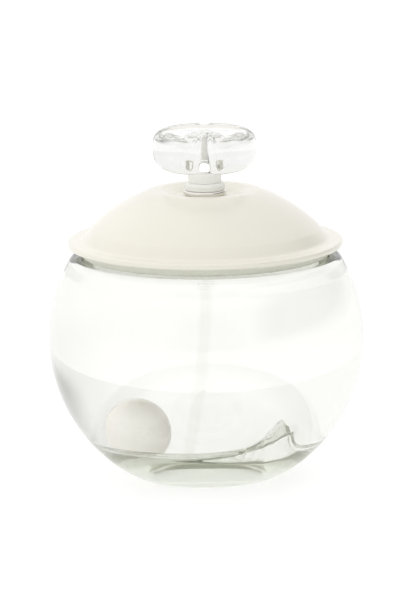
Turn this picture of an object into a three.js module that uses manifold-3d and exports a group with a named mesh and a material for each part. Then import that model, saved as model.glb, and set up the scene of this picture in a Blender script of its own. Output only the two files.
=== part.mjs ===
// A globe-shaped clear glass flacon: a heavy-based glass ball that holds a loose pearl ball,
// a low fine-mist pump crimped to its neck, and a domed lid that lifts off by a clear,
// four-petal knob on a frosted stem. Millimetres, +Z up, origin at the centre of the foot.

import * as THREE from 'three';
import { mergeVertices } from 'three/addons/utils/BufferGeometryUtils.js';
import Module from 'manifold-3d';

const wasm = await Module();
wasm.setup();

// ---- Driving dimensions -------------------------------------------------------------------

const globeRadius = 35;
const globeCentre = 31.2;         // height of the globe's centre above the surface it stands on
const globeWall = 2.8;
const baseFloor = 9.5;            // height of the inside floor: the glass base is thick
const bearingInner = 12.5;        // the ring of the foot that touches the table
const bearingOuter = 15.2;
const footEdge = 17;              // where the foot meets the ball
const floorEdge = 24.6;           // where the inside floor's corner meets the wall
const shoulderTop = 49.65;        // the flat glass top, which carries the lid's seal at its edge
const shoulderRadius = 28.3;
const ceiling = 48.3;             // underside of the glass top
const neckRadius = 8.6;
const neckBore = 6.4;
const neckTop = 52.8;
const neckBead = 1;               // how far the bead that the ferrule grips stands out

const gap = 0.3;                  // air left between pieces that touch
const pearlRadius = 5.7;
const pearlOrbit = 11.7;
const pearlAngle = 188;           // degrees round from +X at rest

const tubeRadius = 1.0;
const tubeBore = 0.6;
const tubeTop = 40.5;
const tubeLow = 10.4;
const tubeSwing = 3.4;            // how far the tube's lower end bends to one side
const housingRadius = 5.6;
const housingBore = 4.4;
const housingLow = 39;
const housingTop = 53.45;
const valveSeat = 42.1;
const inletRadius = 1.1;
const springRadius = 3.0;
const springWire = 0.22;
const springTurns = 5;
const springLow = 44.7;
const springHigh = 51.2;
const pistonRadius = 4.05;
const pistonLow = 51.7;
const pistonHigh = 53.2;
const stemRadius = 1.5;
const stemBore = 0.6;
const stemLow = 51.4;
const stemHigh = 58.7;
const turretLow = 53.7;
const turretTop = 55.6;
const ferruleRadius = 10.4;
const ferruleLow = 50;
const ferruleTop = 54.9;
const ferruleWall = 0.45;
const buttonRadius = 5.9;
const buttonLow = 57.15;
const buttonTop = 60.4;
const socketTop = 59;             // top of the button's socket for the stem
const sprayHeight = 58.7;
const nozzleRadius = 0.8;
const orificeRadius = 0.25;

const domeRadius = 36;            // outer radius of the lid's cap of a sphere
const domeCentre = 30.46;
const domeWall = 1.2;
const rimRadius = 30.55;
const rimUnder = 51.8;
const rimOver = 53.2;
const crownFloor = 63.1;          // bottom of the shallow dish that the knob stands in
const crestRadius = 12;           // where the dish's fold meets the ball-shaped dome
const skirtRadius = 25.4;         // where the dome turns out into its rim
const studHole = 1.9;

const linerRadius = 12;
const linerBore = 10.75;
const linerLow = 50.6;
const sealInner = 25.4;
const sealOuter = 27.6;

const collarRadius = 4.85;
const collarTop = 64.5;
const footRadius = 4.45;
const footTop = 65.9;
const stemOuter = 3.7;
const stemTip = 71.7;
const spigotRadius = 1.6;         // the frosted core that shows in the middle of the knob
const spigotTop = 75.4;
const fixingHole = 1.7;           // hole for the stud through collar and foot
const studRadius = 1.1;
const studLow = 60.6;
const studHigh = 70.1;
const knobRadius = 11.65;
const knobUnder = 69;
const knobTop = 78;
const knobLowerRound = 4;
const knobUpperRound = 3.2;
const knobBore = 3.5;
const petals = 4;
const grooveRadius = 1.7;         // round grooves part the petals, at the side and on top

// ---- Colours and finishes -----------------------------------------------------------------

const finishes = {
  clearGlass: { color: 0xf2f5ee, roughness: 0.03, metalness: 0 },
  pearlLacquer: { color: 0xebe8dc, roughness: 0.28, metalness: 0 },
  pearlBall: { color: 0xe8e7df, roughness: 0.3, metalness: 0 },
  frosted: { color: 0xdcded9, roughness: 0.55, metalness: 0 },
  chrome: { color: 0xd9d8d2, roughness: 0.08, metalness: 1 },
  aluminium: { color: 0xc9cac6, roughness: 0.25, metalness: 1 },
  steel: { color: 0xb4b6b6, roughness: 0.25, metalness: 1 },
  naturalPlastic: { color: 0xeeeeea, roughness: 0.35, metalness: 0 },
  clearPlastic: { color: 0xf1f3f0, roughness: 0.12, metalness: 0 },
  softSeal: { color: 0xb9bbab, roughness: 0.6, metalness: 0 },
};

// ---- Shape helpers ------------------------------------------------------------------------

const degrees = Math.PI / 180;

// Points along an arc in the outline plane, from one angle to another, both ends included.
function arc(r, z, radius, from, to, steps) {
  const points = [];
  for (let i = 0; i <= steps; i++) {
    const angle = (from + ((to - from) * i) / steps) * degrees;
    points.push([r + radius * Math.cos(angle), z + radius * Math.sin(angle)]);
  }
  return points;
}

// A solid of revolution about Z from an outline that runs counter-clockwise in (r, z).
function turned(outline, sides) {
  const geometry = new THREE.LatheGeometry(outline.map(([r, z]) => new THREE.Vector2(r, z)), sides);
  return geometry.rotateX(Math.PI / 2);
}

// A ring of revolution: the same, with its outline closed on itself.
function turnedRing(outline, sides) {
  return turned([...outline, outline[0]], sides);
}

// A plain ring or washer between two radii and two heights.
function washer(inner, outer, low, high, sides) {
  return turnedRing([[inner, low], [outer, low], [outer, high], [inner, high]], sides);
}

function cylinderAt(radius, length, sides, x, y, z, axis) {
  const geometry = new THREE.CylinderGeometry(radius, radius, length, sides);
  if (axis === 'z') geometry.rotateX(Math.PI / 2);
  if (axis === 'x') geometry.rotateZ(Math.PI / 2);
  return geometry.translate(x, y, z);
}

function toSolid(geometry) {
  const bare = geometry.clone();
  bare.deleteAttribute('normal');
  bare.deleteAttribute('uv');
  const merged = mergeVertices(bare, 1e-5);
  return new wasm.Manifold(new wasm.Mesh({
    numProp: 3,
    vertProperties: new Float32Array(merged.attributes.position.array),
    triVerts: new Uint32Array(merged.index.array),
  }));
}

// One body with other bodies cut out of it.
function cut(geometry, cutters) {
  let solid = toSolid(geometry);
  for (const cutter of cutters) solid = solid.subtract(toSolid(cutter));
  const mesh = solid.getMesh();
  const result = new THREE.BufferGeometry();
  result.setAttribute('position', new THREE.BufferAttribute(new Float32Array(mesh.vertProperties), 3));
  result.setIndex(new THREE.BufferAttribute(new Uint32Array(mesh.triVerts), 1));
  return result;
}

const flacon = new THREE.Group();

function addPiece(parent, name, geometry, finish) {
  const mesh = new THREE.Mesh(geometry, new THREE.MeshStandardMaterial(finishes[finish]));
  mesh.name = name;
  geometry.computeVertexNormals();
  parent.add(mesh);
  return mesh;
}

// ---- Glass globe --------------------------------------------------------------------------

function globeOutline() {
  const inside = globeRadius - globeWall;
  const shoulderAngle = Math.asin((shoulderTop - 0.75 - globeCentre) / globeRadius) / degrees;
  const outside = arc(0, globeCentre, globeRadius, -Math.acos(footEdge / globeRadius) / degrees,
    shoulderAngle, 15);
  const inner = arc(0, globeCentre, inside, 26, -Math.acos(floorEdge / inside) / degrees, 12);
  return [
    [0, 0.8], [11.8, 0.5], [bearingInner, 0], [bearingOuter, 0],
    ...outside,
    [shoulderRadius + 0.9, shoulderTop - 0.25], [shoulderRadius, shoulderTop],
    [neckRadius + 0.6, shoulderTop], [neckRadius, shoulderTop + 0.5], [neckRadius, neckTop - 2],
    [neckRadius + neckBead, neckTop - 1.5], [neckRadius + neckBead, neckTop - 0.6],
    [neckRadius + 0.5, neckTop], [neckBore + 0.5, neckTop], [neckBore, neckTop - 0.5],
    [neckBore, ceiling + 0.7], [neckBore + 0.8, ceiling], [25, ceiling], [26.6, ceiling - 0.6],
    [27.8, ceiling - 1.9],
    ...inner,
    [floorEdge - 1.7, baseFloor + 0.3], [floorEdge - 3.7, baseFloor], [8, baseFloor],
    [0, baseFloor + 0.4],
  ];
}

addPiece(flacon, 'glass_globe', turned(globeOutline(), 40), 'clearGlass');

// ---- Loose pearl ball ---------------------------------------------------------------------

const pearl = addPiece(flacon, 'pearl_ball', new THREE.SphereGeometry(pearlRadius, 20, 12), 'pearlBall');
pearl.position.set(
  pearlOrbit * Math.cos(pearlAngle * degrees),
  pearlOrbit * Math.sin(pearlAngle * degrees),
  baseFloor + gap + pearlRadius,
);

// ---- Pump, from the bottom up -------------------------------------------------------------

const small = 20;                 // sides of the small turned pieces

class TubeRoute extends THREE.Curve {
  // Straight down from the pump, then bending to one side so that it drains the low edge.
  getPoint(t, target = new THREE.Vector3()) {
    return target.set(-tubeSwing * t * t, 0, tubeTop + (tubeLow - tubeTop) * t);
  }
}

class SpringWire extends THREE.Curve {
  getPoint(t, target = new THREE.Vector3()) {
    const angle = 2 * Math.PI * springTurns * t;
    return target.set(
      springRadius * Math.cos(angle),
      springRadius * Math.sin(angle),
      springLow + (springHigh - springLow) * t,
    );
  }
}

function roundShape(radius, sides, hole) {
  const ring = (size) => Array.from({ length: sides }, (_, i) => new THREE.Vector2(
    size * Math.cos((2 * Math.PI * i) / sides),
    size * Math.sin((2 * Math.PI * i) / sides),
  ));
  const shape = new THREE.Shape(ring(radius));
  if (hole) shape.holes.push(new THREE.Path(ring(hole)));
  return shape;
}

function swept(shape, path, steps) {
  return new THREE.ExtrudeGeometry(shape, { steps, extrudePath: path, bevelEnabled: false });
}

addPiece(flacon, 'dip_tube', swept(roundShape(tubeRadius, 8, tubeBore), new TubeRoute(), 14),
  'clearPlastic');

addPiece(flacon, 'pump_housing', turnedRing([
  [1.4, housingLow], [2, housingLow], [2, housingLow + 2.3], [2.7, housingLow + 2.7],
  [2.9, valveSeat + 0.4], [5, valveSeat + 1], [housingRadius, valveSeat + 1.6],
  [housingRadius, housingTop], [housingBore, housingTop], [housingBore, springLow - 0.2],
  [4, springLow - 0.6], [1.7, springLow - 0.6], [1.7, valveSeat + 0.5], [0.7, valveSeat],
  [0.7, tubeTop + 0.7], [1.4, tubeTop + 0.4],
], small), 'clearPlastic');

const inletBall = addPiece(flacon, 'inlet_ball', new THREE.SphereGeometry(inletRadius, 12, 8), 'steel');
inletBall.position.set(0, 0, valveSeat + 1.2);

addPiece(flacon, 'return_spring', swept(roundShape(springWire, 6), new SpringWire(), 50), 'steel');

addPiece(flacon, 'pump_piston', turnedRing([
  [stemRadius + gap, pistonLow + 0.3], [3.6, pistonLow + 0.3], [pistonRadius, pistonLow],
  [pistonRadius, pistonHigh - 0.2], [3.4, pistonHigh], [stemRadius + gap, pistonHigh],
], small), 'naturalPlastic');

addPiece(flacon, 'pump_stem', washer(stemBore, stemRadius, stemLow, stemHigh, 16), 'naturalPlastic');
addPiece(flacon, 'stem_seal', washer(stemRadius + 0.35, 2.6, turretLow + 0.2, turretLow + 0.6, small), 'softSeal');
addPiece(flacon, 'neck_gasket', washer(neckBore + gap, 9.4, neckTop + 0.25, housingTop, small), 'softSeal');

addPiece(flacon, 'pump_turret', turnedRing([
  [2.9, turretLow], [9.4, turretLow], [9.4, turretLow + 0.5], [3.6, turretLow + 0.5],
  [3.6, turretTop - 0.2], [3.3, turretTop], [1.9, turretTop], [1.9, turretTop - 1],
  [2.9, turretTop - 1],
], small), 'naturalPlastic');

addPiece(flacon, 'crimp_ferrule', turnedRing([
  [8.95, ferruleLow], [ferruleRadius - 0.3, ferruleLow], [ferruleRadius, ferruleLow + 0.3],
  [ferruleRadius, ferruleTop - 0.3], [ferruleRadius - 0.3, ferruleTop], [3.9, ferruleTop],
  [3.9, ferruleTop - ferruleWall], [9.9, ferruleTop - ferruleWall],
  [9.9, ferruleLow + ferruleWall], [8.95, ferruleLow + ferruleWall],
], 32), 'aluminium');

function buttonGeometry() {
  const body = turned([
    [0, socketTop], [stemRadius + gap, socketTop], [stemRadius + gap, buttonLow + 0.75],
    [4.2, buttonLow + 0.75], [4.2, buttonLow], [buttonRadius - 0.3, buttonLow],
    [buttonRadius, buttonLow + 0.3], [buttonRadius, buttonTop - 0.7],
    [buttonRadius - 0.7, buttonTop], [0, buttonTop - 0.3],
  ], small);
  const pocket = cylinderAt(nozzleRadius + gap, 3.4, 16, 0, -buttonRadius, sprayHeight, 'y');
  const channel = cylinderAt(orificeRadius, 4, 8, 0, -3, sprayHeight, 'y');
  return cut(body, [pocket, channel]);
}

addPiece(flacon, 'actuator_button', buttonGeometry(), 'naturalPlastic');

function nozzleGeometry() {
  const middle = -buttonRadius + 0.9;
  const insert = cylinderAt(nozzleRadius, 1.4, 16, 0, middle, sprayHeight, 'y');
  const orifice = cylinderAt(orificeRadius, 3, 8, 0, middle, sprayHeight, 'y');
  return cut(insert, [orifice]);
}

addPiece(flacon, 'nozzle_insert', nozzleGeometry(), 'naturalPlastic');

// ---- Lid ----------------------------------------------------------------------------------

function domeOutline() {
  const insideRadius = domeRadius - domeWall;
  const angleAt = (r, radius) => Math.acos(r / radius) / degrees;
  const under = arc(0, domeCentre, insideRadius, angleAt(crestRadius, insideRadius),
    angleAt(23.8, insideRadius), 5);
  const over = arc(0, domeCentre, domeRadius, angleAt(skirtRadius, domeRadius),
    angleAt(crestRadius, domeRadius), 7);
  return [
    [studHole, crownFloor - domeWall], [5.2, crownFloor - domeWall], [7, crownFloor - 0.9],
    [9.4, crownFloor - 0.1], [10.8, crownFloor + 0.2],
    ...under,
    [24.2, 54.8], [24.2, 52.4], [24.8, rimUnder], [rimRadius - 0.9, rimUnder],
    [rimRadius - 0.25, rimUnder + 0.2], [rimRadius, 52.5], [rimRadius - 0.25, 53],
    [rimRadius - 0.9, rimOver], [27.9, rimOver + 0.1], [26.6, 54], [25.8, 55],
    ...over,
    [10.9, crownFloor + 1.4], [9.7, crownFloor + 1.25], [8.2, crownFloor + 0.8],
    [6.8, crownFloor + 0.3], [5.4, crownFloor], [studHole, crownFloor],
  ];
}

addPiece(flacon, 'dome_shell', turnedRing(domeOutline(), 40), 'pearlLacquer');

// The moulded inner cup whose sleeve grips the pump's ferrule.
addPiece(flacon, 'grip_liner', turnedRing([
  [linerBore, linerLow], [linerRadius, linerLow], [linerRadius, 62.4], [11, 62.8], [9.2, 62.4],
  [7.5, 61.8], [4.2, 61.5], [4.2, 60.7], [7.5, 61], [9.2, 61.6], [10.4, 61.8], [linerBore, 61.4],
], 36), 'naturalPlastic');

addPiece(flacon, 'rim_seal', washer(sealInner, sealOuter, shoulderTop + gap, rimUnder - gap, 40),
  'softSeal');

addPiece(flacon, 'chrome_collar', turnedRing([
  [fixingHole, crownFloor + gap], [4.6, crownFloor + gap], [collarRadius, crownFloor + 0.5],
  [collarRadius, collarTop - 0.2], [4.6, collarTop], [fixingHole, collarTop],
], 32), 'chrome');

addPiece(flacon, 'stem_foot', turnedRing([
  [fixingHole, collarTop + gap], [footRadius, collarTop + gap], [footRadius, footTop - 0.4],
  [3.9, footTop], [fixingHole, footTop],
], 32), 'frosted');

// The frosted stem rises into the knob, and its spigot shows through the clear body.
addPiece(flacon, 'knob_stem', turned([
  [0, studHigh + gap], [studRadius + gap, studHigh + gap], [studRadius + gap, footTop + gap],
  [stemOuter, footTop + gap], [stemOuter, knobUnder - gap], [3.2, knobUnder + 0.2],
  [3.2, stemTip - 0.8], [2.5, stemTip - 0.1], [spigotRadius, stemTip],
  [spigotRadius, spigotTop - 0.6], [spigotRadius - 0.6, spigotTop], [0, spigotTop],
], 32), 'frosted');

addPiece(flacon, 'knob_stud', turned([
  [0, studLow], [studRadius, studLow], [studRadius, studHigh], [0, studHigh],
], 12), 'steel');

addPiece(flacon, 'stud_washer', washer(studRadius + gap, 3.7, 61.3, 61.6, small), 'steel');
addPiece(flacon, 'stud_nut', washer(studRadius + gap, 2.5, studLow, studLow + 0.4, 6), 'steel');

function knobGeometry() {
  const puck = turned([
    [0, spigotTop + gap], [spigotRadius + gap, spigotTop + gap],
    [spigotRadius + gap, stemTip + gap], [knobBore, stemTip + gap], [knobBore, knobUnder + 0.4],
    [stemOuter + gap, knobUnder],
    ...arc(knobRadius - knobLowerRound, knobUnder + knobLowerRound, knobLowerRound, -90, 0, 5),
    ...arc(knobRadius - knobUpperRound, knobTop - knobUpperRound, knobUpperRound, 0, 90, 4),
    [0, knobTop],
  ], 40);
  const cutters = [];
  for (let i = 0; i < petals; i++) {
    const angle = (i * 2 * Math.PI) / petals;
    const side = cylinderAt(grooveRadius, 20, 12, knobRadius + 1, 0, knobUnder, 'z');
    const face = cylinderAt(grooveRadius, 9, 12, 8.6, 0, knobTop + 1.4, 'x');
    cutters.push(side.rotateZ(angle), face.rotateZ(angle));
  }
  return cut(puck, cutters);
}

addPiece(flacon, 'clear_knob', knobGeometry(), 'clearGlass');

export default flacon;
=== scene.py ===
"""Looks of a globe-shaped glass flacon: clear thick-based globe, liquid, loose pearl ball,
low pump, pearly domed lid and a clear petal knob, on a plain pale studio floor."""

import math

import bmesh
import bpy
from mathutils import Matrix, Quaternion, Vector


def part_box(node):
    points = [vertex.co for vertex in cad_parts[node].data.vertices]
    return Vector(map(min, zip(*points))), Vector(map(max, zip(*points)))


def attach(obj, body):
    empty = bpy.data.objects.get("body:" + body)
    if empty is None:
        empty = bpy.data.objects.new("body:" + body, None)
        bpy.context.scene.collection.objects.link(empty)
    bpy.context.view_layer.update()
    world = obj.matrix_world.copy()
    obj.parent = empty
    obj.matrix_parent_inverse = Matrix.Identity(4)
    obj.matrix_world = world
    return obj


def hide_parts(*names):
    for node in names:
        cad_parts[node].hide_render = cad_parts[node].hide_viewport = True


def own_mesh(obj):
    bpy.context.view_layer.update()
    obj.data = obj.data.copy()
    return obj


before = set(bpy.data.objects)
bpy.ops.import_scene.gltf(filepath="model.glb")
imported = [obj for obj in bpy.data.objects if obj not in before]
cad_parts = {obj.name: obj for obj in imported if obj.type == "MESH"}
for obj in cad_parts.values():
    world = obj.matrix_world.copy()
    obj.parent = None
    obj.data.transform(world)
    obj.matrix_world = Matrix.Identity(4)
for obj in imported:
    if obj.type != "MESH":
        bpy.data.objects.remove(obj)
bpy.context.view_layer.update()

bl_info = {
    "name": "Glass globe flacon",
    "version": (1, 0, 0),
    "blender": (4, 5, 0),
    "location": "View3D > Sidebar > Flacon",
    "description": "Builds a lidded glass globe flacon round its packed frame",
    "category": "Object",
}

MM = 0.001
GAP = 0.03  # between pieces that lie on each other, in millimetres


# ---- Sizes read from the frame ------------------------------------------------------------

def reach(node):
    """(outer radius, lowest height, highest height) of a turned node, in millimetres."""
    low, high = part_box(node)
    return high.y / MM, low.z / MM, high.z / MM


GLOBE_RADIUS, NECK_TOP = reach("glass_globe")[::2]
RIM_RADIUS, RIM_UNDER = reach("dome_shell")[:2]
SEAL_RADIUS, SEAL_LOW, SEAL_HIGH = reach("rim_seal")
COLLAR_RADIUS, COLLAR_LOW, COLLAR_HIGH = reach("chrome_collar")
KNOB_LOW, KNOB_TOP = reach("clear_knob")[1:]


# ---- Colour -------------------------------------------------------------------------------

def linear(hex_colour):
    """An sRGB hex colour as the linear colour that shaders take, with full alpha."""
    channels = [int(hex_colour[i:i + 2], 16) / 255 for i in (0, 2, 4)]
    curve = [c / 12.92 if c <= 0.04045 else ((c + 0.055) / 1.055) ** 2.4 for c in channels]
    return (*curve, 1.0)


def colour(name, description, hex_colour):
    """A colour setting whose default is a hex colour."""
    return bpy.props.FloatVectorProperty(
        name=name, description=description, subtype="COLOR", size=4, min=0, max=1,
        default=linear(hex_colour))


def length(name, description, millimetres):
    """A length setting whose default is given in millimetres."""
    return bpy.props.FloatProperty(
        name=name, description=description, subtype="DISTANCE", unit="LENGTH",
        default=millimetres * MM)


# ---- Settings -----------------------------------------------------------------------------

class GlobeSettings(bpy.types.PropertyGroup):
    """Sizes and colours of the globe and what is in it."""

    wall: length("Wall", "Thickness of the glass at the equator", 2.8)
    base_floor: length("Base", "Height of the inside floor over the table", 9.5)
    liquid_level: length("Liquid level", "Height of the liquid over the table", 49.2)
    ridge: length("Ridge", "Height of the ridge on the glass floor", 9.5)
    ridge_angle: bpy.props.FloatProperty(
        name="Ridge angle", description="Where the ridge's peak lies, round from the right",
        subtype="ANGLE", unit="ROTATION", default=math.radians(-47))
    glass: colour("Glass", "Tint of the glass's surface", "FEFEFD")
    glass_body: colour("Glass body", "Colour that the glass takes in its depth", "D9DED0")
    liquid: colour("Liquid", "Tint of the liquid", "FBFBFA")
    pearl: colour("Pearl ball", "Body colour of the pearl ball", "F8F5EF")


class LidSettings(bpy.types.PropertyGroup):
    """Sizes and colours of the lid and knob."""

    dome_radius: length("Dome radius", "Radius of the dome's sphere", 36)
    petal_depth: length("Petal depth", "Depth of the grooves between the petals", 0.9)
    lacquer: colour("Lacquer", "Ivory ground of the pearl lacquer", "E2DFD2")
    blush: colour("Blush", "Pink sheen of the pearl lacquer at a slant", "F6DCD6")
    frosted: colour("Frosted stem", "Colour of the frosted stem", "ECECE7")
    seal: colour("Seal", "Colour of the elastomer seal", "E8E9DE")


class StudioSettings(bpy.types.PropertyGroup):
    """The plain studio round the flacon."""

    floor: colour("Floor", "Colour of the pale floor", "A6A6A6")
    table_light: bpy.props.FloatProperty(
        name="Table light", description="Light that comes up through the floor", min=0,
        default=0.64)
    surround: bpy.props.FloatProperty(
        name="Surround", description="Strength of the light from all round", min=0,
        default=1.09)
    overhead: bpy.props.FloatProperty(
        name="Overhead", description="Strength of the light from above", min=0, default=1.25)
    screen: bpy.props.FloatProperty(
        name="Screen", description="Share of light that the right screen lets by",
        subtype="FACTOR", min=0, max=1, default=0.25)
    elevation: bpy.props.FloatProperty(
        name="Elevation", description="How far the camera looks down", subtype="ANGLE",
        unit="ROTATION", default=math.radians(11))


# ---- Materials ----------------------------------------------------------------------------

def add_node(tree, kind, settings=None, links=None):
    """A new node of one kind, with its properties or socket values set and its inputs linked."""
    node = tree.nodes.new(kind)
    for key, value in (settings or {}).items():
        if hasattr(node, str(key)):
            setattr(node, key, value)
        else:
            node.inputs[key].default_value = value
    for key, source in (links or {}).items():
        tree.links.new(source, node.inputs[key])
    return node


def new_material(name, **sockets):
    """A Principled material; keywords are its sockets' names with _ for a space."""
    material = bpy.data.materials.new(name)
    material.use_nodes = True
    tree = material.node_tree
    shader = tree.nodes["Principled BSDF"]
    for key, value in sockets.items():
        shader.inputs[key.replace("_", " ")].default_value = value
    return material, tree, shader


def grain(tree, size_mm, detail=2.0, roughness=0.5, stretch=None):
    """The strength of a grain of real size, fixed to the piece; stretch draws it out."""
    place = add_node(tree, "ShaderNodeTexCoord").outputs["Object"]
    if stretch:
        place = add_node(tree, "ShaderNodeMapping", {"Scale": stretch},
                         {"Vector": place}).outputs["Vector"]
    noise = add_node(tree, "ShaderNodeTexNoise", {
        "Scale": 1 / (size_mm * MM), "Detail": detail, "Roughness": roughness},
        {"Vector": place})
    return noise.outputs["Fac"]


def vary(tree, shader, pattern, colours=None, roughness=None, depth_mm=0.0, strength=1.0):
    """Lets a pattern vary a finish: from one colour to another, from one roughness to another
    over the middle values that the pattern keeps mostly to, and up and down by a real depth."""
    made = {}
    if colours:
        made["Base Color"] = add_node(tree, "ShaderNodeMix", {
            "data_type": "RGBA", 6: colours[0], 7: colours[1]}, {0: pattern}).outputs[2]
    if roughness:
        made["Roughness"] = add_node(tree, "ShaderNodeMapRange", {
            "From Min": 0.3, "From Max": 0.7, "To Min": roughness[0], "To Max": roughness[1]},
            {"Value": pattern}).outputs["Result"]
    if depth_mm:
        made["Normal"] = add_node(tree, "ShaderNodeBump", {
            "Distance": depth_mm * MM, "Strength": strength},
            {"Height": pattern}).outputs["Normal"]
    for socket, source in made.items():
        tree.links.new(source, shader.inputs[socket])


def shades(ground, *factors):
    """A colour made darker or lighter by each factor."""
    return [(*[min(1.0, c * factor) for c in ground[:3]], 1.0) for factor in factors]


def pressed_glass(name, tint, wave_mm, body, density):
    """Soda-lime glass, pressed and blown, then fire-polished: clear, with a tint that drifts in
    long soft waves. Its own colour shows where light runs far through it; density is per
    metre. The knob's cast acrylic looks the same, with a greyer body."""
    material, tree, shader = new_material(name, Transmission_Weight=1.0, IOR=1.51, Roughness=0.0)
    vary(tree, shader, grain(tree, wave_mm, 1.0, 0.3), shades(tint, 1, 0.985))
    depth = add_node(tree, "ShaderNodeVolumeAbsorption", {"Color": body, "Density": density})
    tree.links.new(depth.outputs["Volume"], tree.nodes["Material Output"].inputs["Volume"])
    return material


def scented_spirit(tint):
    """Alcohol and water: clear, bends light less than glass does, with a trace of straw."""
    material, tree, shader = new_material("scented_spirit", Transmission_Weight=1.0, IOR=1.36,
                                          Roughness=0.0)
    vary(tree, shader, grain(tree, 30, 1.0), shades(tint, 1, 0.99))
    return material


def pearl_lacquer(ground, blush):
    """Ivory moulding under sprayed mica lacquer and a clear coat: satin body, soft gloss on top
    and a pink sheen at a slant. Mica flakes are too fine to show, so they are drawn at
    0.5 mm."""
    material, tree, shader = new_material(
        "pearl_lacquer", IOR=1.5, Coat_Weight=0.6, Coat_Roughness=0.14, Coat_IOR=1.5,
        Sheen_Weight=0.12, Sheen_Roughness=0.35, Sheen_Tint=blush)
    clouds, flakes, swell = grain(tree, 9), grain(tree, 0.5, 2.0, 0.6), grain(tree, 2.5, 1.0)
    vary(tree, shader, clouds, shades(ground, 1.02, 0.965))
    vary(tree, shader, flakes, roughness=(0.28, 0.34))
    vary(tree, shader, swell, depth_mm=0.004, strength=0.3)
    return material


def bead_pearl(ground):
    """Moulded bead dipped in pearl essence: soft shine with faint colour turning in the film."""
    material, tree, shader = new_material(
        "dipped_pearl", Roughness=0.3, IOR=1.55, Coat_Weight=0.4, Coat_Roughness=0.2,
        Thin_Film_Thickness=380.0, Thin_Film_IOR=1.6)
    vary(tree, shader, grain(tree, 3.5, 3.0, 0.55), shades(ground, 1.02, 0.95), (0.24, 0.36))
    return material


def frosted_acrylic(ground):
    """Cast acrylic etched to a frost: dull white and fine-grained, with no clear gloss."""
    material, tree, shader = new_material("frosted_acrylic", IOR=1.49)
    vary(tree, shader, grain(tree, 0.25, 3.0, 0.6), shades(ground, 1.03, 0.95), (0.42, 0.6),
         0.006)
    return material


def bright_metal(name, hex_colour, roughness, lines_mm, depth_mm):
    """Turned or plated metal: mirror-like, with fine lines that run round it."""
    material, tree, shader = new_material(name, Metallic=1.0)
    lines = grain(tree, lines_mm, stretch=(0.04, 0.04, 1.0))
    vary(tree, shader, lines, shades(linear(hex_colour), 1, 0.93),
         (roughness, roughness * 1.7), depth_mm)
    return material


def natural_polypropylene():
    """Moulded polypropylene with no pigment: milky, waxy, slightly uneven."""
    material, tree, shader = new_material(
        "natural_polypropylene", IOR=1.49, Transmission_Weight=0.08)
    vary(tree, shader, grain(tree, 1.2), shades(linear("EDEDE8"), 1, 0.94), (0.32, 0.46), 0.006)
    return material


def wetted_polyethylene():
    """Clear extruded polyethylene under the liquid: its index is set against the liquid round
    it, so its edges are only just seen."""
    material, tree, shader = new_material(
        "wetted_polyethylene", Transmission_Weight=1.0, IOR=1.02, Roughness=0.0)
    vary(tree, shader, grain(tree, 2.5, 1.0), shades(linear("FEFEFD"), 1, 0.97))
    return material


def moulded_elastomer(ground):
    """Moulded thermoplastic elastomer: matt, dusty, with a soft grain."""
    material, tree, shader = new_material("moulded_elastomer", IOR=1.5)
    vary(tree, shader, grain(tree, 0.6, 3.0), shades(ground, 1.04, 0.9), (0.5, 0.7), 0.01)
    return material


# ---- Mesh tools ---------------------------------------------------------------------------

WELD = 0.002  # points nearer than this, in millimetres, are merged


def arc(r, z, radius, start, end, steps):
    """Points along an arc in the outline plane; angles in degrees, both ends included."""
    points = []
    for i in range(steps + 1):
        angle = math.radians(start + (end - start) * i / steps)
        points.append((r + radius * math.cos(angle), z + radius * math.sin(angle)))
    return points


def rounded(corners, steps=6):
    """An outline whose corners (r, z, rounding) are turned to curves of that many steps."""
    outline = []
    for i, (r, z, *rounding) in enumerate(corners):
        here = Vector((r, z))
        if not rounding or rounding[0] == 0 or i in (0, len(corners) - 1):
            outline.append((r, z))
            continue
        before = Vector(corners[i - 1][:2]) - here
        after = Vector(corners[i + 1][:2]) - here
        half = before.angle(after) / 2
        back = min(rounding[0] / math.tan(half), before.length * 0.49, after.length * 0.49)
        start = here + before.normalized() * back
        end = here + after.normalized() * back
        for k in range(steps + 1):
            t = k / steps
            bend = start.lerp(here, t).lerp(here.lerp(end, t), t)
            outline.append((bend.x, bend.y))
    return outline


def held(outline, hold=0.15):
    """The outline with a point just inside each end of its long straight runs, which keeps
    flat faces flat in smooth shading."""
    result = [outline[0]]
    for (r0, z0), (r1, z1) in zip(outline, outline[1:]):
        run = math.hypot(r1 - r0, z1 - z0)
        if run > 6 * hold:
            for share in (hold / run, 1 - hold / run):
                result.append((r0 + (r1 - r0) * share, z0 + (z1 - z0) * share))
        result.append((r1, z1))
    return result


def mesh_piece(name, bm, material, smooth=40):
    """An object made of a bmesh, with its doubles merged and faces pointing out; edges that
    bend more than smooth degrees stay sharp."""
    bmesh.ops.remove_doubles(bm, verts=bm.verts, dist=WELD * MM)
    bmesh.ops.recalc_face_normals(bm, faces=bm.faces)
    mesh = bpy.data.meshes.new(name)
    bm.to_mesh(mesh)
    bm.free()
    mesh.shade_smooth()
    mesh.set_sharp_from_angle(angle=math.radians(smooth))
    mesh.materials.append(material)
    piece = bpy.data.objects.new(name, mesh)
    bpy.context.scene.collection.objects.link(piece)
    return piece


def turned_bmesh(outline, steps, closed=False):
    """A bmesh of an outline in millimetres spun a full turn about Z."""
    bm = bmesh.new()
    points = held(outline + outline[:1] if closed else outline)
    if closed:
        points = points[:-1]
    rim = [bm.verts.new((r * MM, 0, z * MM)) for r, z in points]
    pairs = list(zip(rim, rim[1:]))
    if closed:
        pairs.append((rim[-1], rim[0]))
    edges = [bm.edges.new(pair) for pair in pairs]
    bmesh.ops.spin(bm, geom=rim + edges, cent=(0, 0, 0), axis=(0, 0, 1), dvec=(0, 0, 0),
                   angle=2 * math.pi, steps=steps, use_merge=True, use_normal_flip=False,
                   use_duplicate=False)
    return bm


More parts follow.
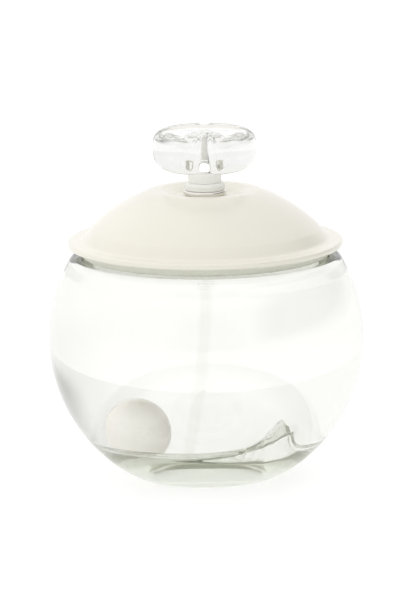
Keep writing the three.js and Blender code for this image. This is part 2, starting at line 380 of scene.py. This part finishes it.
def turned_piece(name, outline, material, steps=96, closed=False):
    """A turned piece from an outline in millimetres."""
    return mesh_piece(name, turned_bmesh(outline, steps, closed), material)


def place(piece, body, slot, *nodes):
    """Puts a finished piece on its body, in place of the nodes that it stands for."""
    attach(piece, body)
    if nodes:
        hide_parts(*nodes)
    return piece


# ---- Globe and liquid ---------------------------------------------------------------------

GLOBE_CENTRE = 31.2  # height of the middle of the ball, in millimetres like all that follow
SHOULDER = 49.65     # flat top of the glass, round the neck
CEILING = 48.3       # its underside, over the liquid
BORE = 6.4           # inside radius of the neck
NECK = 8.6           # outside radius of the neck
LIP = 9.6            # radius of the lip that the ferrule grips
WETTED = 0.03        # how far the liquid reaches into the glass, so that no air shows between
RIDGE_RADIUS = 20.3  # distance of the ridge from the axis
RIDGE_REACH = 20     # height over the floor at which the ridge has faded out
RIDGE_SLOPES = (15, 4)     # degrees round the axis: its long left slope and its short right one
RIDGE_SIDES = (2.8, 5)     # width towards the axis and away from it
TURNS = 256          # steps round the axis, fine enough for a smooth edge through thick glass


def cavity(settings, grow=0.0):
    """Outline of the space in the globe, from the neck's bore round to the middle of the floor.
    grow pushes it into the glass, so that the liquid wets the wall."""
    floor = settings.base_floor / MM - grow
    inside = GLOBE_RADIUS - settings.wall / MM + grow
    top, low = 25.5, math.degrees(math.acos(24.0 / inside))
    return [
        *rounded([(BORE + grow, SHOULDER - 0.05, 0), (BORE + grow, CEILING + grow, 0.8),
                  (28.3 + grow, CEILING + grow, 1.8),
                  (inside * math.cos(math.radians(top)),
                   GLOBE_CENTRE + inside * math.sin(math.radians(top)), 0)]),
        *arc(0, GLOBE_CENTRE, inside, top - 0.8, -low, 72),
        *rounded([(23.6, floor + 1.2, 0), (22.3, floor + 0.05, 1.5), (19, floor, 0)]),
        *[(18.5 - 0.5 * i, floor) for i in range(20)], (4.5, floor + 0.25), (0, floor + 0.4),
    ]


def press_ridge(bm, settings):
    """Raises a ridge of glass on the floor of the cavity, as the cold shear mark of the gob
    leaves it: it climbs to a peak at the front right and drops steeply behind it, with fine
    streaks. The globe and the liquid take the same shape."""
    floor = settings.base_floor / MM
    peak = math.degrees(settings.ridge_angle)
    inside = GLOBE_RADIUS - settings.wall / MM + 0.5
    for vertex in bm.verts:
        x, y, z = vertex.co / MM
        over = z - floor
        if over < -1 or over > RIDGE_REACH or math.hypot(x, y, z - GLOBE_CENTRE) > inside:
            continue
        past = math.degrees(math.atan2(y, x)) - peak
        out = math.hypot(x, y) - RIDGE_RADIUS
        along = abs(past) / RIDGE_SLOPES[past >= 0]
        across = (out / RIDGE_SIDES[out >= 0]) ** 2
        rise = max(0.0, over) / RIDGE_REACH
        fade = (1 - rise) ** 2 * (1 + 2 * rise)
        streaks = 1 + 0.03 * math.sin(past / 1.1)
        vertex.co.z += settings.ridge * math.exp(-along - across) * fade * streaks


def globe_outline(settings):
    """Closed outline of the glass, out along the foot, up the outside and back down inside."""
    foot = [(0, 0.8), (6, 0.75), *rounded([(11.4, 0.6, 0), (12.4, 0, 0.5), (15.4, 0, 0.8),
                                           (17.0, 0.61, 0)])]
    outside = arc(0, GLOBE_CENTRE, GLOBE_RADIUS, -math.degrees(math.acos(17.2 / GLOBE_RADIUS)),
                  30.2, 110)
    neck = rounded([(30.0, 49.2, 0), (29.4, SHOULDER, 0.6), (NECK, SHOULDER, 0.5),
                    (NECK, 50.9, 0.3), (LIP, 51.3, 0.3), (LIP, NECK_TOP, 0.5),
                    (BORE, NECK_TOP, 0.4), (BORE, SHOULDER + 0.15, 0)])
    return foot + outside + neck + cavity(settings)


class FLACON_OT_globe(bpy.types.Operator):
    """Adds the thick-based glass globe"""

    bl_idname = "flacon.globe"
    bl_label = "Glass globe"

    def execute(self, context):
        settings = context.scene.flacon_globe
        glass = pressed_glass("pressed_glass", settings.glass, 14, settings.glass_body, 20)
        bm = turned_bmesh(globe_outline(settings), TURNS)
        press_ridge(bm, settings)
        globe = mesh_piece("globe", bm, glass)
        place(globe, "globe", "globe_glass", "glass_globe")
        return {"FINISHED"}


class FLACON_OT_liquid(bpy.types.Operator):
    """Adds the liquid that fills the globe"""

    bl_idname = "flacon.liquid"
    bl_label = "Liquid"

    def execute(self, context):
        settings = context.scene.flacon_globe
        top = settings.liquid_level / MM
        surface = [(0, top), (BORE + WETTED, top)]
        bm = turned_bmesh([*surface, *cavity(settings, WETTED)[1:]], TURNS)
        press_ridge(bm, settings)
        liquid = mesh_piece("liquid", bm, scented_spirit(settings.liquid))
        place(liquid, "globe", "globe_glass")
        return {"FINISHED"}


def ball_piece(name, node, subdivisions, material):
    """A ball where a node of the frame has one."""
    low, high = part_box(node)
    bm = bmesh.new()
    bmesh.ops.create_icosphere(bm, subdivisions=subdivisions, radius=(high.z - low.z) / 2)
    bmesh.ops.translate(bm, verts=bm.verts, vec=(low + high) / 2)
    return mesh_piece(name, bm, material, 180)


class FLACON_OT_pearl(bpy.types.Operator):
    """Adds the loose pearl ball"""

    bl_idname = "flacon.pearl"
    bl_label = "Pearl ball"

    def execute(self, context):
        coat = bead_pearl(context.scene.flacon_globe.pearl)
        place(ball_piece("pearl", "pearl_ball", 5, coat), "pearl", "pearl_bead", "pearl_ball")
        return {"FINISHED"}


# ---- Lid ----------------------------------------------------------------------------------

DOME_CENTRE = 30.46  # height of the middle of the dome's sphere
DOME_WALL = 1.2
CROWN_FLOOR = 63.1   # floor of the shallow dish in the crown
CROWN_HOLE = 1.9     # radius of the hole that the stud passes
STUD_HOLE = 1.7      # radius of the holes in the collar and foot
WASHER_HOLE = 1.4    # radius of the holes in the washer and nut
SPIGOT = 1.6         # radius of the stem's end in the knob
KNOB_RADIUS = 11.65  # radius of the knob between its grooves
KNOB_CORE = 4.6      # radius inside which the grooves don't reach


def dome_outline(settings):
    """Closed outline of the dome: underside out to the rim, round its roll, and back over."""
    outer = settings.dome_radius / MM
    inner = outer - DOME_WALL

    def at(r, radius):
        """Angle up the sphere at which it has a radius r about the axis."""
        return math.degrees(math.acos(r / radius))

    ceiling = CROWN_FLOOR - DOME_WALL
    under = rounded([(CROWN_HOLE, ceiling, 0), (5.6, ceiling, 1.5), (9.6, 62.9, 1.5),
                     (11.6, 63.2, 0)])
    inside = arc(0, DOME_CENTRE, inner, at(12.2, inner), at(23.6, inner), 24)
    rim = rounded([(24.1, 55.2, 0), (24.2, 52.6, 0.6), (24.8, RIM_UNDER, 0.5),
                   (RIM_RADIUS, RIM_UNDER, 0.68), (RIM_RADIUS, 53.2, 0.68), (27.4, 53.3, 1.6),
                   (25.55, 55.8, 2.2), (24.9, 56.46, 0)], 10)
    over = arc(0, DOME_CENTRE, outer, at(24.6, outer), at(12.4, outer), 30)
    crown = rounded([(11.8, 64.4, 0), (10.0, 64.55, 1.8), (7.8, 63.85, 1.6),
                     (6.2, 63.15, 1.6), (4.9, CROWN_FLOOR, 0.8),
                     (CROWN_HOLE, CROWN_FLOOR, 0)], 8)
    return under + inside + rim + over + crown


class FLACON_OT_dome(bpy.types.Operator):
    """Adds the pearly dome of the lid"""

    bl_idname = "flacon.dome"
    bl_label = "Pearly dome"

    def execute(self, context):
        settings = context.scene.flacon_lid
        lacquer = pearl_lacquer(settings.lacquer, settings.blush)
        dome = turned_piece("dome", dome_outline(settings), lacquer, 160, closed=True)
        place(dome, "lid", "pearl_lacquer", "dome_shell")
        return {"FINISHED"}


class FLACON_OT_lid_inside(bpy.types.Operator):
    """Adds the grip liner and the rim's seal"""

    bl_idname = "flacon.lid_inside"
    bl_label = "Liner and seal"

    def execute(self, context):
        settings = context.scene.flacon_lid
        seal = turned_piece("seal_ring", rounded([
            (25.6, SEAL_LOW, 0), (SEAL_RADIUS, SEAL_LOW, 0.4), (SEAL_RADIUS, SEAL_HIGH, 0.4),
            (25.4, SEAL_HIGH, 0.3), (25.4, SEAL_LOW + 0.2, 0)]),
            moulded_elastomer(settings.seal), 160, closed=True)
        place(seal, "lid", "soft_seal", "rim_seal")
        low, high = reach("grip_liner")[1:]
        liner = turned_piece("liner", rounded([
            (10.75, low + 0.3, 0), (11.2, low, 0.2), (12, low, 0.3), (12, 62.5, 0.4),
            (11, high, 0.5), (9.2, 62.4, 1), (7.5, 61.8, 1), (4.2, 61.5, 0.2), (4.2, 60.7, 0.2),
            (7.5, 61, 1), (9.2, 61.6, 1), (10.4, 61.8, 0.4), (10.75, 61.3, 0)]),
            natural_polypropylene(), 96, closed=True)
        place(liner, "lid", "natural_plastic", "grip_liner")
        return {"FINISHED"}


class FLACON_OT_stem(bpy.types.Operator):
    """Adds the chrome collar and the frosted stem"""

    bl_idname = "flacon.stem"
    bl_label = "Collar and stem"

    def execute(self, context):
        frosted = frosted_acrylic(context.scene.flacon_lid.frosted)
        chrome = bright_metal("chrome_plate", "E6E4DE", 0.04, 0.2, 0.0005)
        collar = turned_piece("collar", rounded([
            (STUD_HOLE, COLLAR_LOW, 0), (COLLAR_RADIUS, COLLAR_LOW, 0.5),
            (COLLAR_RADIUS, COLLAR_HIGH, 0.5), (STUD_HOLE, COLLAR_HIGH, 0)]),
            chrome, 96, closed=True)
        place(collar, "lid", "chrome", "chrome_collar")
        stem_radius, stem_low, stem_high = reach("knob_stem")
        foot_radius = reach("stem_foot")[0]
        low, high = COLLAR_HIGH + GAP, stem_low - GAP
        foot = turned_piece("stem_foot_ring", rounded([
            (STUD_HOLE, low, 0), (foot_radius, low, 0.2), (foot_radius, high - 0.5, 0.5),
            (3.9, high, 0.3), (STUD_HOLE, high, 0)]), frosted, 96, closed=True)
        place(foot, "lid", "frosted_acrylic", "stem_foot")
        stem = turned_piece("stem", rounded([
            (0, 70.4, 0), (1.4, 70.4, 0.2), (1.4, stem_low, 0.1), (stem_radius, stem_low, 0.1),
            (stem_radius, 68.7, 0.3), (3.2, 69.2, 0.2), (3.2, 71.7, 0.9), (SPIGOT, 71.7, 0.1),
            (SPIGOT, stem_high, 0.9), (0, stem_high, 0)]), frosted, 96)
        place(stem, "lid", "frosted_acrylic", "knob_stem")
        return {"FINISHED"}


def knob_outline():
    """Outline of the knob before its grooves: a fat puck, rounder below than above, with a
    stepped blind bore for the stem."""
    lower, upper = 4.0, 3.2
    return [
        *rounded([(0, 75.7, 0), (1.9, 75.7, 0.9), (1.9, 72, 0.1), (3.5, 72, 0.9),
                  (3.5, 69.4, 0.1), (4.0, KNOB_LOW, 0.1), (7.4, KNOB_LOW, 0)]),
        *arc(KNOB_RADIUS - lower, KNOB_LOW + lower, lower, -90, 0, 20),
        *arc(KNOB_RADIUS - upper, KNOB_TOP - upper, upper, 0, 90, 18),
        (6, KNOB_TOP), (3, KNOB_TOP), (0, KNOB_TOP),
    ]


def press_petals(bm, depth):
    """Sinks four rounded grooves into the side and faces of the knob, between its petals; they
    narrow towards the top and grow deeper outwards."""
    middle = (KNOB_LOW + KNOB_TOP) / 2 * MM
    half = (KNOB_TOP - KNOB_LOW) / 2 * MM
    for vertex in bm.verts:
        x, y, z = vertex.co
        r = math.hypot(x, y)
        if r < KNOB_CORE * MM:
            continue
        across = min(abs(x), abs(y))
        rise = (z - middle) / half
        width = (1.8 - 0.5 * rise) * MM
        sink = depth * math.exp(-(across / width) ** 6) * min(1, (r / MM - KNOB_CORE) / 4)
        push = Vector((-x / r, -y / r, -0.2 * rise))
        vertex.co += push * sink


class FLACON_OT_knob(bpy.types.Operator):
    """Adds the clear knob with its petals"""

    bl_idname = "flacon.knob"
    bl_label = "Clear knob"

    def execute(self, context):
        bm = turned_bmesh(knob_outline(), 192)
        press_petals(bm, context.scene.flacon_lid.petal_depth)
        glass = pressed_glass("polished_acrylic", linear("FEFEFD"), 5, linear("E6E6E4"), 36)
        knob = mesh_piece("knob", bm, glass, 60)
        place(knob, "lid", "knob_glass", "clear_knob")
        return {"FINISHED"}


class FLACON_OT_fixings(bpy.types.Operator):
    """Adds the stud, washer and nut that hold the knob"""

    bl_idname = "flacon.fixings"
    bl_label = "Knob fixings"

    def execute(self, context):
        steel = bright_metal("turned_steel", "B9BABA", 0.22, 0.15, 0.001)
        radius, low, high = reach("knob_stud")
        stud = turned_piece("stud", rounded([
            (0, low, 0), (radius, low, 0.25), (radius, high, 0.3), (0, high, 0)]), steel, 48)
        place(stud, "lid", "steel", "knob_stud")
        radius, low, high = reach("stud_washer")
        disc = turned_piece("disc_washer", rounded([
            (WASHER_HOLE, low, 0), (radius, low, 0.08), (radius, high, 0.08),
            (WASHER_HOLE, high, 0)]), steel, 64, closed=True)
        place(disc, "lid", "steel", "stud_washer")
        low, high = reach("stud_nut")[1:]
        nut = turned_piece("hex_nut", [
            (WASHER_HOLE, low), (2.5, low), (2.5, high), (WASHER_HOLE, high)], steel, 6,
            closed=True)
        place(nut, "lid", "steel", "stud_nut")
        return {"FINISHED"}


# ---- Pump ---------------------------------------------------------------------------------

class FLACON_OT_pump(bpy.types.Operator):
    """Adds the pump's turned pieces"""

    bl_idname = "flacon.pump"
    bl_label = "Pump"

    def execute(self, context):
        plastic = natural_polypropylene()
        wetted = wetted_polyethylene()
        elastomer = moulded_elastomer(context.scene.flacon_lid.seal)
        aluminium = bright_metal("anodised_aluminium", "CFCFCC", 0.16, 0.2, 0.001)

        low, high = reach("pump_housing")[1:]
        housing = turned_piece("housing", rounded([
            (1.4, low, 0), (2.0, low, 0.2), (2.0, 41.3, 0.3), (2.8, 42.1, 0.4), (5.2, 43.1, 0.5),
            (5.6, 43.9, 0.4), (5.6, high, 0.2), (4.4, high, 0.2), (4.4, 44.1, 0.4),
            (1.7, 44.1, 0.1), (1.7, 42.5, 0.2), (0.7, 42.0, 0.1), (0.7, 41.1, 0.1),
            (1.4, 40.8, 0.1), (1.4, low + 0.2, 0)], 4), wetted, 96, closed=True)
        place(housing, "globe", "clear_plastic", "pump_housing")

        radius, low, high = reach("crimp_ferrule")
        ferrule = turned_piece("ferrule", rounded([
            (8.95, low + 0.45, 0), (8.95, low, 0.2), (radius, low, 0.45), (radius, high, 0.6),
            (3.9, high, 0.2), (3.9, high - 0.45, 0.2), (9.9, high - 0.45, 0.3),
            (9.9, low + 0.45, 0.2), (9.2, low + 0.45, 0)]), aluminium, 96, closed=True)
        place(ferrule, "globe", "ferrule_aluminium", "crimp_ferrule")

        low, high = reach("pump_turret")[1:]
        turret = turned_piece("turret", rounded([
            (2.9, low + 0.1, 0), (3.1, low, 0), (9.4, low, 0.15), (9.4, low + 0.5, 0.15),
            (3.6, low + 0.5, 0.2), (3.6, high, 0.4), (1.9, high, 0.2), (1.9, low + 0.9, 0.1),
            (2.9, low + 0.9, 0.1)]), plastic, 96, closed=True)
        place(turret, "globe", "natural_plastic", "pump_turret")

        for name, node, inner in (("gasket", "neck_gasket", 6.7), ("wiper", "stem_seal", 1.85)):
            outer, low, high = reach(node)
            ring = turned_piece(name, rounded([
                (inner, low, 0), (outer, low, 0.12), (outer, high, 0.12), (inner, high, 0)]),
                elastomer, 96, closed=True)
            place(ring, "globe", "soft_seal", node)

        low, high = reach("pump_stem")[1:]
        stem = turned_piece("hollow_stem", rounded([
            (0.6, low, 0), (1.5, low, 0.2), (1.5, high, 0.25), (0.6, high, 0)]), plastic, 48,
            closed=True)
        place(stem, "pump_head", "natural_plastic", "pump_stem")

        low, high = reach("pump_piston")[1:]
        piston = turned_piece("piston", rounded([
            (1.8, low + 0.3, 0), (3.5, low + 0.3, 0.2), (4.05, low, 0.1), (4.05, high - 0.2, 0.1),
            (3.4, high, 0.2), (1.8, high, 0)]), plastic, 64, closed=True)
        place(piston, "pump_head", "natural_plastic", "pump_piston")

        button = turned_piece("button", rounded([
            (0, 59, 0), (1.8, 59, 0.2), (1.8, 57.9, 0.1), (4.2, 57.9, 0.2), (4.2, 57.15, 0.2),
            (5.9, 57.15, 0.3), (5.9, 60.4, 0.8), (4.4, 60.4, 0.6), (3.4, 60.1, 2), (0, 60.0, 0)]),
            plastic, 96)
        place(button, "pump_head", "natural_plastic", "actuator_button")

        low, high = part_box("nozzle_insert")
        bm = turned_bmesh(rounded([
            (0.25, 0.7, 0), (0.25, -0.7, 0.1), (0.8, -0.7, 0.1), (0.8, 0.7, 0.12),
            (0.45, 0.7, 0.1), (0.3, 0.5, 0)]), 48, closed=True)
        bmesh.ops.rotate(bm, verts=bm.verts, cent=(0, 0, 0),
                         matrix=Matrix.Rotation(math.radians(90), 3, "X"))
        bmesh.ops.translate(bm, verts=bm.verts, vec=(low + high) / 2)
        place(mesh_piece("spray_insert", bm, plastic), "pump_head", "natural_plastic",
              "nozzle_insert")

        steel = bright_metal("bearing_steel", "C3C4C4", 0.08, 0.3, 0)
        place(ball_piece("valve_ball", "inlet_ball", 4, steel), "inlet_valve", "steel",
              "inlet_ball")
        return {"FINISHED"}


def swept_piece(name, route, radius, sides, material, bore=0.0):
    """A tube or wire in millimetres that follows a list of points; bore makes it hollow."""
    bm = bmesh.new()
    rings = []
    for wall in ([radius, bore] if bore else [radius]):
        rows = []
        for i, point in enumerate(route):
            ahead = route[min(i + 1, len(route) - 1)] - route[max(i - 1, 0)]
            made = bmesh.ops.create_circle(bm, cap_ends=False, segments=sides, radius=wall * MM)
            turn = ahead.to_track_quat("Z", "Y").to_matrix().to_4x4()
            bmesh.ops.transform(bm, verts=made["verts"],
                                matrix=Matrix.Translation(point * MM) @ turn)
            edges = {e for v in made["verts"] for e in v.link_edges}
            if rows:
                bmesh.ops.bridge_loops(bm, edges=list(edges | rows[-1]))
            rows.append(edges)
        rings.append(rows)
    if bore:
        for end in (0, -1):
            bmesh.ops.bridge_loops(bm, edges=list(rings[0][end] | rings[1][end]))
    else:
        bmesh.ops.contextual_create(bm, geom=list(rings[0][0]))
        bmesh.ops.contextual_create(bm, geom=list(rings[0][-1]))
    return mesh_piece(name, bm, material)


class FLACON_OT_tube(bpy.types.Operator):
    """Adds the dip tube and the return spring"""

    bl_idname = "flacon.tube"
    bl_label = "Dip tube and spring"

    def execute(self, context):
        low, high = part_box("dip_tube")
        outer, inner, steps = 1.0, 0.6, 48
        top, bottom = high.z / MM, low.z / MM + 0.25
        swing = -low.x / MM - outer
        route = []
        for i in range(steps + 1):
            t = i / steps
            route.append(Vector((-swing * t * t, 0, top + (bottom - top) * t)))
        tube = swept_piece("tube", route, outer, 32, wetted_polyethylene(), inner)
        place(tube, "globe", "clear_plastic", "dip_tube")

        low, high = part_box("return_spring")
        wire, turns, steps = 0.22, 5, 28
        coil = high.y / MM - wire
        start, end = low.z / MM + wire, high.z / MM - wire
        route = []
        for i in range(turns * steps + 1):
            t = i / (turns * steps)
            angle = 2 * math.pi * turns * t
            route.append(Vector((coil * math.cos(angle), coil * math.sin(angle),
                                 start + (end - start) * t)))
        spring = swept_piece("spring", route, wire, 12,
                             bright_metal("spring_wire", "B9BABA", 0.2, 0.15, 0.0005))
        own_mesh(place(spring, "globe", "steel", "return_spring"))
        return {"FINISHED"}


# ---- Studio -------------------------------------------------------------------------------

def soft_surround(settings):
    """White light from all round, strongest above and weaker from the right, with a dark screen
    low on the right and a greyer patch behind the camera, which draw the edges of clear pieces
    and give the bright ones something to reflect."""
    world = bpy.data.worlds.new("studio")
    world.use_nodes = True
    tree = world.node_tree
    place = add_node(tree, "ShaderNodeTexCoord")
    way = add_node(tree, "ShaderNodeSeparateXYZ", None, {"Vector": place.outputs["Object"]})

    def fall_off(steps, light=None):
        """Multiplies light by steps; each goes from low to high as the direction's share along
        an axis goes from start to end."""
        for axis, start, end, low, high in steps:
            step = add_node(tree, "ShaderNodeMapRange", {
                "interpolation_type": "SMOOTHSTEP", "From Min": start, "From Max": end,
                "To Min": low, "To Max": high}, {"Value": way.outputs[axis]}).outputs["Result"]
            if light:
                step = add_node(tree, "ShaderNodeMath", {"operation": "MULTIPLY"},
                                {0: light, 1: step}).outputs["Value"]
            light = step
        return light

    screen = fall_off([("X", 0.5, 0.85, 0, 1), ("Z", 0.0, 0.15, 0, 1), ("Z", 0.4, 0.7, 1, 0)])
    screened = add_node(tree, "ShaderNodeMapRange",
                        {"To Min": 1.0, "To Max": settings.screen}, {"Value": screen})
    light = fall_off([("Z", 0.2, 0.8, settings.surround, settings.overhead),
                      ("Y", -0.98, -0.8, 0.75, 1), ("X", 0.1, 0.9, 1, 0.84)],
                     screened.outputs["Result"])
    background = tree.nodes["Background"]
    background.inputs["Color"].default_value = (1, 1, 1, 1)
    tree.links.new(light, background.inputs["Strength"])
    return world


class FLACON_OT_stage(bpy.types.Operator):
    """Adds the plain pale floor, the soft light and the camera"""

    bl_idname = "flacon.stage"
    bl_label = "Studio"

    def execute(self, context):
        scene = context.scene
        settings = scene.flacon_studio
        bm = bmesh.new()
        bmesh.ops.create_grid(bm, x_segments=1, y_segments=1, size=2.5)
        bmesh.ops.translate(bm, verts=bm.verts, vec=(0, 0, -0.1 * MM))
        material = new_material(
            "studio_floor", Roughness=0.6, Base_Color=settings.floor,
            Emission_Color=(1, 1, 1, 1), Emission_Strength=settings.table_light)[0]
        mesh_piece("studio_floor", bm, material)

        scene.world = soft_surround(settings)

        camera = bpy.data.objects.new("camera", bpy.data.cameras.new("camera"))
        scene.collection.objects.link(camera)
        # A long lens from 2 m away; view_height is how much the frame's side takes in there.
        away, view_height, aim = 2.0, 0.1356, Vector((0, 0, 0.0383))
        back = Vector((0, -math.cos(settings.elevation), math.sin(settings.elevation)))
        camera.location = aim + back * away
        turn = (-back).to_track_quat("-Z", "Y") @ Quaternion((0, 0, 1), math.radians(-0.6))
        camera.rotation_mode = "QUATERNION"
        camera.rotation_quaternion = turn
        camera.data.lens = camera.data.sensor_width * away / view_height
        camera.data.clip_start = 0.01
        scene.camera = camera
        scene.view_settings.view_transform = "Standard"

        # Light has to pass many clear surfaces, unblurred, to reach what is in the globe.
        paths = scene.cycles
        paths.blur_glossy = 0.0
        paths.max_bounces = 40
        paths.transmission_bounces = 40
        paths.diffuse_bounces = 12
        paths.glossy_bounces = 12
        paths.sample_clamp_indirect = 3.0
        return {"FINISHED"}


# ---- Add-on -------------------------------------------------------------------------------

OPERATORS = (FLACON_OT_globe, FLACON_OT_liquid, FLACON_OT_pearl, FLACON_OT_pump,
             FLACON_OT_tube, FLACON_OT_dome, FLACON_OT_lid_inside, FLACON_OT_stem,
             FLACON_OT_knob, FLACON_OT_fixings, FLACON_OT_stage)


class FLACON_PT_panel(bpy.types.Panel):
    """Lists the steps that build the flacon"""

    bl_idname = "FLACON_PT_panel"
    bl_label = "Glass globe flacon"
    bl_space_type = "VIEW_3D"
    bl_region_type = "UI"
    bl_category = "Flacon"

    def draw(self, context):
        for group in ("flacon_globe", "flacon_lid", "flacon_studio"):
            settings = getattr(context.scene, group)
            for key in settings.__annotations__:
                self.layout.prop(settings, key)
        for operator in OPERATORS:
            self.layout.operator(operator.bl_idname)


CLASSES = (GlobeSettings, LidSettings, StudioSettings, *OPERATORS, FLACON_PT_panel)


def register():
    """Registers the classes and the scene's settings."""
    for cls in CLASSES:
        bpy.utils.register_class(cls)
    bpy.types.Scene.flacon_globe = bpy.props.PointerProperty(type=GlobeSettings)
    bpy.types.Scene.flacon_lid = bpy.props.PointerProperty(type=LidSettings)
    bpy.types.Scene.flacon_studio = bpy.props.PointerProperty(type=StudioSettings)


def unregister():
    """Takes them away again."""
    for group in ("flacon_studio", "flacon_lid", "flacon_globe"):
        delattr(bpy.types.Scene, group)
    for cls in reversed(CLASSES):
        bpy.utils.unregister_class(cls)


def main():
    """Builds every piece and the studio."""
    register()
    for operator in OPERATORS:
        group, step = operator.bl_idname.split(".")
        getattr(getattr(bpy.ops, group), step)()


if __name__ == "__main__":
    main()
